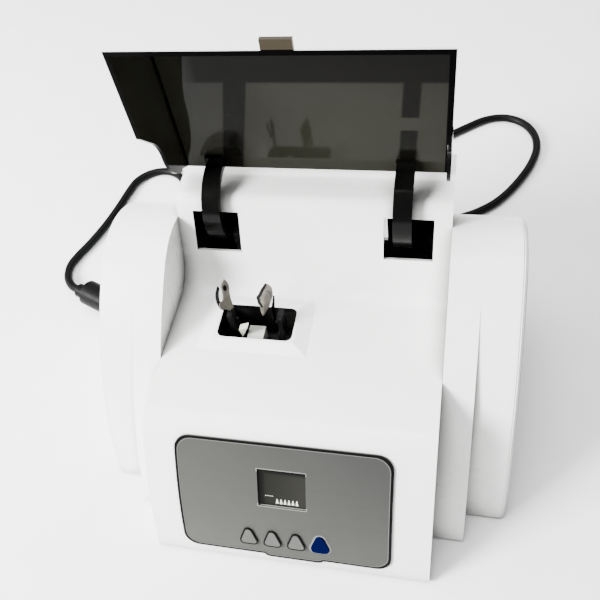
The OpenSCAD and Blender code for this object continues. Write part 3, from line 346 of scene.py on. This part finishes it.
# Painted shade: the rims and side wall edges are coloured near black.
def lid_rims(tree, x, y, z, facing_x, facing_y):
    """Where shade is painted: the narrow edges that face the user, and those of the side walls."""
    ends = either(tree, rising(tree, z, *LID_FRONT_END), falling(tree, y, *LID_NEAR_EDGE))
    ends = both(tree, ends, falling(tree, facing_y, *LID_RIM_FACE))
    walls = both(tree, rising(tree, maths(tree, "ABSOLUTE", x), *LID_SIDE_WALL),
                 falling(tree, maths(tree, "ABSOLUTE", facing_x), *LID_WALL_SIDEWAYS))
    return either(tree, ends, both(tree, walls, falling(tree, facing_y, *LID_WALL_FACE)))


def make_smoke():
    """Smoked lid: deep brown-grey with painted reflections darker on its strip and stripes,
    painted shade near black on its rims, paler tab.
    """
    material, tree, shader = new_material("smoked_plastic_painted_reflections")
    x, y, z = object_parts(tree)
    facing_x, facing_y, _ = object_parts(tree, "Normal")
    reflection_mask = lid_painted_reflections(tree, x, z, facing_y)
    rims = lid_rims(tree, x, y, z, facing_x, facing_y)
    tone = blend(tree, ramp(tree, noise(tree, 9, 4.0), 0, 1), SMOKE_LIGHT, SMOKE_DARK)
    tone = blend(tree, rims, blend(tree, reflection_mask, tone, REFLECTION_COLOUR), RIM_SHADE)
    link_colour(tree, shader, blend(tree, rising(tree, z, *LID_TAB), tone, TAB_COLOUR))
    patchy_gloss(tree, shader, scale=25, detail=4.0, rough=(0.04, 0.075))
    fine_grain(tree, shader, scale=60, strength=0.06, depth=0.00005, detail=3.0)
    shine = both(tree, ramp(tree, rims, LID_SHINE, RIM_SHINE, 0, 1),
                 ramp(tree, reflection_mask, 1, REFLECTION_SHINE_SHARE, 0, 1))
    tree.links.new(shine, shader.inputs["Specular IOR Level"])
    shader.inputs["IOR"].default_value = SMOKE_IOR
    return material


WHITE_LIGHT, WHITE_DIM = (0.87, 0.87, 0.86), (0.85, 0.85, 0.835)
# Painted shade: an ambient occlusion mask darkens the narrow steps between pieces.
CREVICE_SHADE_COLOUR, CREVICE_REACH, CREVICE_OPENNESS = (0.22, 0.22, 0.21), 0.016, (0.45, 0.9)


def white_tone(tree):
    """Pale patches, with painted shade dimming the narrow steps between neighbouring pieces."""
    tone = blend(tree, ramp(tree, noise(tree, 14, 4.0), 0, 1), WHITE_LIGHT, WHITE_DIM)
    node = tree.nodes.new("ShaderNodeAmbientOcclusion")
    node.inputs["Distance"].default_value = CREVICE_REACH
    node.samples = 8
    crevice_shade = falling(tree, node.outputs["AO"], *CREVICE_OPENNESS)
    return blend(tree, crevice_shade, tone, CREVICE_SHADE_COLOUR)


def finish_white(tree, shader, tone):
    link_colour(tree, shader, tone)
    patchy_gloss(tree, shader, scale=42, detail=5.0, rough=(0.24, 0.34))
    fine_grain(tree, shader, scale=1400, strength=0.18, depth=0.00003)


def make_drum_white():
    material, tree, shader = new_material("drum_white")
    finish_white(tree, shader, white_tone(tree))
    return material


REAR_WALL_INSIDE, SIDE_WALL_INSIDE = (0.1035, 0.1040), (0.0795, 0.0815)
SLOT_WALLS_ACROSS, SLOT_WALLS_BACK = (0.0785, 0.0790), (0.084, 0.085)
WELL_ACROSS, WELL_ALONG, WELL_TOP = (-0.0530, -0.0050), (-0.0062, 0.0195), (0.0864, 0.0866)
SIDE_SOFTNESS, WELL_SOFTNESS = 0.0003, 0.0001
# Steps of a normal's part along an axis: squarely against it, and squarely along it
AGAINST, ALONG = (-0.9, -0.8), (0.8, 0.9)
# Painted shade: near black on faces in the housing, on faces looking down and around the well.
INSIDE_SHADE_COLOUR = (0.003, 0.003, 0.003)


def make_housing_white():
    """Moulded white with painted shade: dark on the faces that look into the housing, on those
    that look down, and around the well.
    """
    material, tree, shader = new_material("housing_white")
    x, y, z = object_parts(tree)
    facing = parts(tree, tree.nodes.new("ShaderNodeNewGeometry").outputs["Normal"])
    wide = maths(tree, "ABSOLUTE", x)
    rear = both(tree, falling(tree, facing[1], *AGAINST), rising(tree, y, *REAR_WALL_INSIDE))
    slots = both(tree, falling(tree, wide, *SLOT_WALLS_ACROSS), falling(tree, y, *SLOT_WALLS_BACK))
    sides = either(tree, between(tree, wide, *SIDE_WALL_INSIDE, SIDE_SOFTNESS), slots)
    sides = both(tree, rising(tree, maths(tree, "ABSOLUTE", facing[0]), *ALONG), sides)
    under = falling(tree, facing[2], *AGAINST)
    well = both(tree, between(tree, x, *WELL_ACROSS, WELL_SOFTNESS),
                between(tree, y, *WELL_ALONG, WELL_SOFTNESS))
    well = both(tree, well, falling(tree, z, *WELL_TOP))
    inside_shade = either(tree, either(tree, rear, sides), either(tree, under, well))
    finish_white(tree, shader, blend(tree, inside_shade, white_tone(tree), INSIDE_SHADE_COLOUR))
    return material


housing_white = make_housing_white()
drum_white = make_drum_white()
panel_grey = make_panel_film()
lens_dark = make_display_lens()
smoke = make_smoke()

DRESS = {
    housing_white: ["upper_shell"],
    drum_white: ["inner_band_left", "inner_band_right", "end_cap_left", "end_cap_right"],
    panel_grey: ["control_panel"],
    lens_dark: ["display_lens"],
    smoke: ["lid"],
    key_grey: ["key_mode", "key_minus", "key_plus"],
    key_blue: ["key_start"],
    display_body: ["display_module"],
    gloss_black: ["lid_arm_left", "lid_arm_right"],
    matt_black: ["well_liner", "key_switches", "lid_switch", "fan", "switch_frame",
                 "power_rocker", "fuse_holder"],
    cord_black: ["strain_relief", "plug_body"],
    rubber: ["feet", "rubber_mounts"],
    base_paint: ["base_plate", "motor_frame"],
    sheet_steel: ["prong_left", "prong_right", "motor_straps"],
    turned_steel: ["foot_screws", "board_screws", "hinge_pins", "rotor_shaft", "spring_front",
                   "spring_rear", "inner_race", "outer_race", "motor_bearings", "skewed_hub",
                   "motor_can"],
    dark_steel: ["stator", "rotor_core", "transformer", "prong_rivets", "hinge_brackets"],
    cast_alloy: ["front_bell", "rear_bell"],
    dark_arm: ["mixing_arm"],
    brass: ["counterweight", "plug_pins"],
    block_white: ["capsule_stop"],
    board_green: ["control_board", "power_board"],
    sleeve_blue: ["capacitors"],
}
for material, names in DRESS.items():
    for name in names:
        nodes[name].data.materials.clear()
        nodes[name].data.materials.append(material)


# Mesh building
def circle_point(middle, radius, degrees):
    angle = math.radians(degrees)
    return middle[0] + radius * math.cos(angle), middle[1] + radius * math.sin(angle)


def subdivided(outline, step, whole):
    """A closed outline with points about a step apart; whole rounds a side's count of steps."""
    dense = []
    for (x0, y0), (x1, y1) in zip(outline, outline[1:] + outline[:1]):
        steps = max(1, whole(math.hypot(x1 - x0, y1 - y0) / step))
        dense += [(x0 + (x1 - x0) * i / steps, y0 + (y1 - y0) * i / steps) for i in range(steps)]
    return dense


def add_mesh(name, points, faces, material, body, smooth=True):
    mesh = bpy.data.meshes.new(name)
    mesh.from_pydata([tuple(p) for p in points], [], faces)
    mesh.validate()
    made = bmesh.new()
    made.from_mesh(mesh)
    bmesh.ops.recalc_face_normals(made, faces=made.faces)
    made.to_mesh(mesh)
    made.free()
    for face in mesh.polygons:
        face.use_smooth = smooth
    piece = bpy.data.objects.new(name, mesh)
    mesh.materials.append(material)
    bpy.context.scene.collection.objects.link(piece)
    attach(piece, body)
    return piece


# The lead: the same points as in the part's source, with its coil behind the machine
LEAD_ROUTE = [
    (70, 246, 14), (71, 260, 11.5), (77, 273, 7.5), (88, 284, 4.5), (101, 292, 3.5),
    (114, 302, 3.5), (125, 315, 3.5), (135, 331, 3.5), (144, 350, 3.5), (149, 370, 3.5),
    (147, 388, 3.5), (138, 402, 3.5), (123, 409, 3.5), (106, 406, 3.5), (88, 394, 3.5),
    (66, 377, 3.5), (40, 357, 3.5), (14, 339, 3.5), (-8, 329, 3.5), (-30, 326, 3.5)]
TAIL_ROUTE = [
    (-48, 321.2, 33), (-62, 313, 32), (-77, 303.5, 27), (-94, 290, 17), (-111, 279, 7),
    (-125, 275.5, 4), (-138, 279, 3.5), (-147.5, 288.5, 3.5), (-151, 301.5, 3.5),
    (-154.5, 315, 3.5), (-164, 325, 3.5), (-177, 329, 3.5), (-190, 325.5, 3.5),
    (-199.5, 316, 3.5), (-203.5, 302, 3.5), (-206.5, 283, 3.5), (-211, 262, 3.5),
    (-217.5, 241, 3.5), (-225, 222, 3.5), (-226.7, 211.5, 3.5), (-224, 201, 3.5),
    (-217, 192.6, 4.3), (-207.5, 187.5, 6)]
COIL_MIDDLE = (-30, 290)
COIL_RADIUS = 36
COIL_START, COIL_DEGREES = 90, 4 * 360 + 30
COIL_FOOT, COIL_CLIMB = 3.5, 29.5
POINTS_PER_SPAN, DEGREES_PER_POINT = 5, 5
CORD_DIAMETER = 0.0066


def spline(points, i, t):
    """Catmull-Rom point between points i and i + 1."""
    a, b = points[max(i - 1, 0)], points[i]
    c, d = points[i + 1], points[min(i + 2, len(points) - 1)]
    return tuple(0.5 * (2 * q + (r - p) * t + (2 * p - 5 * q + 4 * r - s) * t * t
                        + (3 * q - p - 3 * r + s) * t * t * t) for p, q, r, s in zip(a, b, c, d))


def smooth_path(points):
    path = [spline(points, i, k / POINTS_PER_SPAN)
            for i in range(len(points) - 1) for k in range(POINTS_PER_SPAN)]
    return path + [points[-1]]


def coil_path():
    return [(*circle_point(COIL_MIDDLE, COIL_RADIUS, COIL_START + a),
             COIL_FOOT + COIL_CLIMB * a / COIL_DEGREES)
            for a in range(0, COIL_DEGREES + 1, DEGREES_PER_POINT)]


def tube_curve(name, path, radius, material, body):
    data = bpy.data.curves.new(name, "CURVE")
    data.dimensions = "3D"
    data.bevel_depth = radius
    data.bevel_resolution = 5
    data.use_fill_caps = True
    line = data.splines.new("POLY")
    line.points.add(len(path) - 1)
    for point, place in zip(line.points, path):
        point.co = (*place, 1)
    piece = bpy.data.objects.new(name, data)
    data.materials.append(material)
    bpy.context.scene.collection.objects.link(piece)
    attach(piece, body)
    return piece


def add_cord():
    path = smooth_path(LEAD_ROUTE) + coil_path()[1:] + smooth_path(TAIL_ROUTE)[1:]
    path = [at(*p) for p in path]
    cord = tube_curve("mains_lead", path, CORD_DIAMETER / 2, cord_black, "housing")
    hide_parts("power_cord", "cord_coil", "cord_tail")


add_cord()

# The bowed front. Outlines on it are (x, distance up the slope); "out" is off the surface.
FRONT_RADIUS = 274
SLOPE_LOW = 71
PANEL_X = -1.5
PANEL_OUT = 0.9
PANEL_MIDDLE, PANEL_HALF_WIDTH, PANEL_SHRINK_HEIGHT = 47, 62.5, 41
PANEL_FOOT, PANEL_HEAD, PANEL_CORNER = 8.5, 88.5, 9
BULGE_X, BULGE_HALF_WIDTH, BULGE_DROP, BULGE_BEND = 5, 17, 2.0, 2.5
KEY_ROW, KEY_PITCH = 22.5, 14.3
KEY_WIDTH, KEY_HEIGHT, KEY_CORNER = 10.8, 12.5, 2.6
DISPLAY_ROW = 59.5
# Printed bands: outer and inner edge as an inset or a growth, and how far each stands out
EDGE_BAND, LINE_BAND = (0.0, 1.5), (1.5, 1.9)
KEY_EDGE_BAND, KEY_HALO_BAND = (0.05, -0.7), (1.2, 0.25)
DISPLAY_BORDER = ((29.1, 26.1, 0.6), (28.1, 25.1, 0.2))
EDGE_RISE, LINE_RISE, KEY_EDGE_RISE, PRINT_RISE = 0.14, 0.12, 1.06, 0.05


def on_front(x, s, out=0.0):
    start = math.radians(SLOPE_LOW)
    heading = start - s / FRONT_RADIUS
    y = FRONT_RADIUS * (math.sin(start) - math.sin(heading)) - out * math.sin(heading)
    z = FRONT_RADIUS * (math.cos(heading) - math.cos(start)) + out * math.cos(heading)
    return at(x, y, z)


def corner_arc(cx, cy, r, start, end, steps=8):
    return [circle_point((cx, cy), r, start + (end - start) * i / steps) for i in range(steps + 1)]


def panel_outline():
    """The panel's edge: a rounded rectangle with a shallow bulge under the keys."""
    w, low, high, r = PANEL_HALF_WIDTH, PANEL_FOOT, PANEL_HEAD, PANEL_CORNER
    left, right = BULGE_X - BULGE_HALF_WIDTH, BULGE_X + BULGE_HALF_WIDTH
    path = corner_arc(w - r, high - r, r, 0, 90) + corner_arc(-w + r, high - r, r, 90, 180)
    path += corner_arc(-w + r, low + r, r, 180, 270)
    shoulder, floor = low - BULGE_DROP * 0.6, low - BULGE_DROP
    path += [(left - 0.5, low), (left, shoulder), (left + BULGE_BEND, floor)]
    path += [(right - BULGE_BEND, floor), (right, shoulder), (right + 0.5, low)]
    path += corner_arc(w - r, low + r, r, 270, 360)
    return [(x + PANEL_X, s) for x, s in subdivided(path, 4, int)]


def panel_edge(inset):
    """The panel's edge, shrunk towards its middle by the inset."""
    across, up = 1 - inset / PANEL_HALF_WIDTH, 1 - inset / PANEL_SHRINK_HEIGHT
    return [(PANEL_X + (x - PANEL_X) * across, PANEL_MIDDLE + (s - PANEL_MIDDLE) * up)
            for x, s in panel_outline()]


def key_outline(x, grow):
    """A rounded triangle, point up, with its corners' radius grown."""
    half_w, half_h = KEY_WIDTH / 2 - KEY_CORNER, KEY_HEIGHT / 2 - KEY_CORNER
    lean = math.degrees(math.atan2(half_w, 2 * half_h))
    path = []
    for cx, cy, start, end in ((half_w, -half_h, -90, lean), (0, half_h, lean, 180 - lean),
                               (-half_w, -half_h, 180 - lean, 270)):
        path += corner_arc(x + cx, KEY_ROW + cy, KEY_CORNER + grow, start, end, 6)
    return path


def window_outline(w, h, r):
    """A rounded rectangle about the display's middle."""
    path = []
    for sx, sy, start in ((1, 1, 0), (-1, 1, 90), (-1, -1, 180), (1, -1, 270)):
        path += corner_arc(PANEL_X + sx * (w / 2 - r), DISPLAY_ROW + sy * (h / 2 - r), r,
                           start, start + 90, 5)
    return path


def inlay(name, outer, inner, material, out, slot, body="housing"):
    """A thin printed band between two outlines with as many points, lying on the panel."""
    n = len(outer)
    low = [on_front(x, s, PANEL_OUT) for x, s in outer + inner]
    high = [on_front(x, s, PANEL_OUT + out) for x, s in outer + inner]
    faces = []
    for i in range(n):
        j = (i + 1) % n
        faces.append((2 * n + i, 2 * n + j, 3 * n + j, 3 * n + i))
        faces.append((i, j, 2 * n + j, 2 * n + i))
        faces.append((n + i, n + j, 3 * n + j, 3 * n + i))
    return add_mesh(name, low + high, faces, material, body, smooth=False)


def add_panel_print():
    inlay("panel_edge_print", *map(panel_edge, EDGE_BAND), outline_black, EDGE_RISE,
          "black_plastic")
    inlay("panel_line_print", *map(panel_edge, LINE_BAND), line_grey, LINE_RISE, "panel_film")
    for k, key in enumerate(("key_mode", "key_minus", "key_plus", None)):
        x = PANEL_X + (k - 1.5) * KEY_PITCH
        if key:
            inlay(f"key_edge_{k + 1}", *(key_outline(x, grow) for grow in KEY_EDGE_BAND),
                  outline_dark, KEY_EDGE_RISE, "black_plastic", key)
        else:
            inlay("key_halo", *(key_outline(x, grow) for grow in KEY_HALO_BAND), outline_light,
                  PRINT_RISE, "panel_film")
    inlay("display_border", *(window_outline(*size) for size in DISPLAY_BORDER), outline_light,
          PRINT_RISE, "panel_film")


add_panel_print()

# Lit marks of the display: a row of wedges and, above it, a row of dashes
LENS_OUT = -0.62
SEGMENTS, SEGMENT_MIDDLE, SEGMENT_PITCH, SEGMENT_TOP = 6, 2.8, 2.3, -0.15
SEGMENT_FOOT, SEGMENT_HEAD = (0.8, 49.0), (0.3, 52.0)
DASHES, DASH_START, DASH_PITCH, DASH_TOP = 5, -10, 1.0, -0.3
DASH_LENGTH, DASH_LOW, DASH_HIGH = 0.6, 53.6, 53.8


def lens_mark(name, corners, rise):
    """A lit mark that stands in the display's lens."""
    low = [on_front(px, ps, LENS_OUT) for px, ps in corners]
    high = [on_front(px, ps, rise) for px, ps in corners]
    faces = [(4, 5, 6, 7), (0, 1, 5, 4), (1, 2, 6, 5), (2, 3, 7, 6), (3, 0, 4, 7)]
    add_mesh(name, low + high, faces, segment_light, "housing", False)


def add_segments():
    (foot_half, foot), (head_half, head) = SEGMENT_FOOT, SEGMENT_HEAD
    for k in range(SEGMENTS):
        x = PANEL_X + SEGMENT_MIDDLE + (k - (SEGMENTS - 1) / 2) * SEGMENT_PITCH
        corners = [(x - foot_half, foot), (x + foot_half, foot),
                   (x + head_half, head), (x - head_half, head)]
        lens_mark(f"display_segment_{k + 1}", corners, SEGMENT_TOP)
    for k in range(DASHES):
        x = PANEL_X + DASH_START + k * DASH_PITCH
        corners = [(x, DASH_LOW), (x + DASH_LENGTH, DASH_LOW),
                   (x + DASH_LENGTH, DASH_HIGH), (x, DASH_HIGH)]
        lens_mark(f"display_dash_{k + 1}", corners, DASH_TOP)


add_segments()

# Prongs of the capsule fork: bent sheet plates turned towards the front right.
# Outlines are (across, height above the table) as seen square on.
LEFT_PRONG = ((-44, 117), 50)  # place and bearing in degrees
RIGHT_PRONG = ((-17, 117), 26)
FINGER = [
    (1.6, 124.2), (2.8, 121), (3.3, 116.6), (2.6, 112.5), (1.9, 106.4), (1.9, 99), (2.2, 96.6),
    (-1.2, 95.6), (-2.4, 98.2), (-4.3, 100.6), (-6.4, 103.6), (-6.9, 106.6), (-6.4, 108.6),
    (-5.2, 108), (-3.4, 108.4), (-2.4, 110.8), (-1.7, 115.5), (-1.8, 120.4), (-0.7, 123.2)]
DIMPLE = [(0.2 + 1.2 * math.cos(math.radians(a)), 117.2 + 2.5 * math.sin(math.radians(a)))
          for a in range(0, 360, 20)]
CLAW = [
    (-5.0, 100.4), (-6.6, 102.6), (-7.2, 106), (-7.3, 109), (-6.9, 112), (-5.8, 115.6),
    (-4.0, 118.6), (-2.6, 119.9), (-2.4, 117.8), (-3.7, 115.5), (-4.6, 112.8), (-5.1, 110.0),
    (-4.9, 106.4), (-3.8, 102.8)]
BAR_END = [(-1.6, 80), (2.2, 80), (2.0, 98.5), (-1.8, 98.5)]
LEAF = [
    (-1.3, 124.1), (0.7, 121.4), (2.0, 117.6), (1.9, 112.2), (0.4, 107), (-1.8, 102.5),
    (-4.6, 98.8), (-7.3, 95.7), (-7.7, 100), (-7.5, 103.8), (-6.3, 107.2), (-7.2, 113.4),
    (-6.4, 114.9), (-4.0, 119.6)]
LEAF_EDGE = [
    (-0.9, 124.9), (-4.2, 120.1), (-6.6, 115.3), (-8.0, 113.5), (-8.0, 107.4), (-6.6, 103.8),
    (-5.8, 104.6), (-6.6, 108.0), (-6.3, 112.9), (-5.0, 114.7), (-2.9, 118.9), (-0.2, 123.2)]
CREASE = [
    (-1.2, 117.6), (0.0, 115.6), (0.7, 112.6), (0.5, 108.6), (0.2, 108.6), (0.3, 112.4),
    (-0.4, 115.2), (-1.5, 117.1)]
STEM = [(-2.4, 82), (0.0, 82), (0.8, 98), (2.4, 108.4), (1.6, 110.0), (0.4, 104), (-1.2, 98.5)]
WEDGE_CORNERS, WEDGE_SIDES = [(-40.3, 83.0), (-34.6, 85.6), (-39.4, 75.2)], (111, 115)
EDGE_STEP, INNER_STEP = 0.8, 0.75
INNER_START = (0.41, 0.37)


def plate(name, origin, bearing, outline, shape, material, thickness=0.7):
    """Bent plate: the outline lies in a plane that faces the bearing, and shape(across, height)
    says how far the sheet stands out of that plane."""
    turn_to = math.radians(bearing)
    side = (math.cos(turn_to), math.sin(turn_to))
    facing = (math.sin(turn_to), -math.cos(turn_to))
    ring = subdivided(outline, EDGE_STEP, round)
    edges = [(i, (i + 1) % len(ring)) for i in range(len(ring))]
    across, heights = zip(*outline)
    low_w, low_z = min(across), min(heights)
    points = [Vector(p) for p in ring]
    for i in range(int((max(across) - low_w) / INNER_STEP)):
        for k in range(int((max(heights) - low_z) / INNER_STEP)):
            points.append(Vector((low_w + INNER_START[0] + INNER_STEP * i,
                                  low_z + INNER_START[1] + INNER_STEP * k)))
    flat_points, _, flat_faces = geometry.delaunay_2d_cdt(points, edges, [], 1, 0.0001)[:3]
    places = []
    for w, z in flat_points:
        out = shape(w, z)
        places.append(at(origin[0] + w * side[0] + out * facing[0],
                         origin[1] + w * side[1] + out * facing[1], z))
    made = add_mesh(name, places, [tuple(face) for face in flat_faces], material, "fork")
    thick = made.modifiers.new("thickness", "SOLIDIFY")
    thick.thickness = thickness / 1000
    thick.offset = 0
    return made


def cupped(w, z):
    """A shallow trough along the finger, coming forward above 108 mm."""
    return 0.025 * (w - 0.6) ** 2 + 0.9 * max(0, (z - 108) / 16) ** 2


def folded(w, z):
    """A fold that leans across the leaf, with both halves going back from it."""
    return -0.34 * abs(w + 1.3 + (124 - z) * 0.2)


def curled(w, z):
    """Straight, leaning back with height."""
    return 0.3 - 0.10 * (z - 105)


def flat(out):
    return lambda w, z: out


def raised(shape, out):
    return lambda w, z: shape(w, z) + out


def add_prongs():
    finger = plate("prong_finger", *LEFT_PRONG, FINGER, cupped, pale_steel)
    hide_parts("prong_left")
    plate("prong_dimple", *LEFT_PRONG, DIMPLE, raised(cupped, 0.4), gloss_black)
    plate("prong_claw", *LEFT_PRONG, CLAW, curled, gloss_black)
    plate("prong_bar_end", *LEFT_PRONG, BAR_END, flat(-0.9), dark_steel)
    leaf = plate("prong_leaf", *RIGHT_PRONG, LEAF, folded, pale_steel)
    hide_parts("prong_right")
    plate("leaf_edge", *RIGHT_PRONG, LEAF_EDGE, raised(folded, 0.5), gloss_black, thickness=0.3)
    plate("leaf_crease", *RIGHT_PRONG, CREASE, raised(folded, 0.4), dark_steel, thickness=0.2)
    plate("prong_stem", *RIGHT_PRONG, STEM, flat(-1.6), gloss_black)
    points = [at(x, y, z) for y in WEDGE_SIDES for x, z in WEDGE_CORNERS]
    faces = [(0, 1, 2), (5, 4, 3), (0, 3, 4, 1), (1, 4, 5, 2), (2, 5, 3, 0)]
    add_mesh("stop_wedge", points, faces, wedge_white, "fork", False)


add_prongs()

# Studio: lengths in metres, light power in watts
TABLE_HALF_SIZE = 6.0
LIGHTS = [  # name, place, target, size, power
    ("key_light", (-1.25, -0.7, 0.95), (0, 0, 0.05), (0.6, 0.6), 145),
    ("top_light", (-0.3, 0.2, 1.7), (0, 0, 0.05), (1.0, 1.0), 42),
    ("left_light", (-1.7, 0.1, 0.9), (0, 0, 0.05), (1.2, 0.9), 22),
    ("back_light", (0.2, 1.4, 1.3), (0, 0, 0.1), (1.6, 0.8), 14)]
WORLD_STRENGTH = 0.52


def add_stage():
    floor = surface("table_white", (0.86, 0.86, 0.86), (0.84, 0.84, 0.84), (0.5, 0.65), grain=300)
    mesh = bpy.data.meshes.new("table")
    size = TABLE_HALF_SIZE
    mesh.from_pydata([(-size, -size, 0), (size, -size, 0), (size, size, 0), (-size, size, 0)], [],
                     [(0, 1, 2, 3)])
    table = bpy.data.objects.new("table", mesh)
    mesh.materials.append(floor)
    bpy.context.scene.collection.objects.link(table)


def add_light(name, place, target, size, power):
    data = bpy.data.lights.new(name, "AREA")
    data.shape = "RECTANGLE"
    data.size, data.size_y = size
    data.energy = power
    light = bpy.data.objects.new(name, data)
    light.location = place
    direction = Vector(target) - Vector(place)
    light.rotation_euler = direction.to_track_quat("-Z", "Y").to_euler()
    bpy.context.scene.collection.objects.link(light)


def add_world():
    world = bpy.data.worlds.new("studio")
    world.use_nodes = True
    background = world.node_tree.nodes["Background"]
    background.inputs["Color"].default_value = (1, 1, 1, 1)
    background.inputs["Strength"].default_value = WORLD_STRENGTH
    bpy.context.scene.world = world


add_stage()
for light in LIGHTS:
    add_light(*light)
add_world()
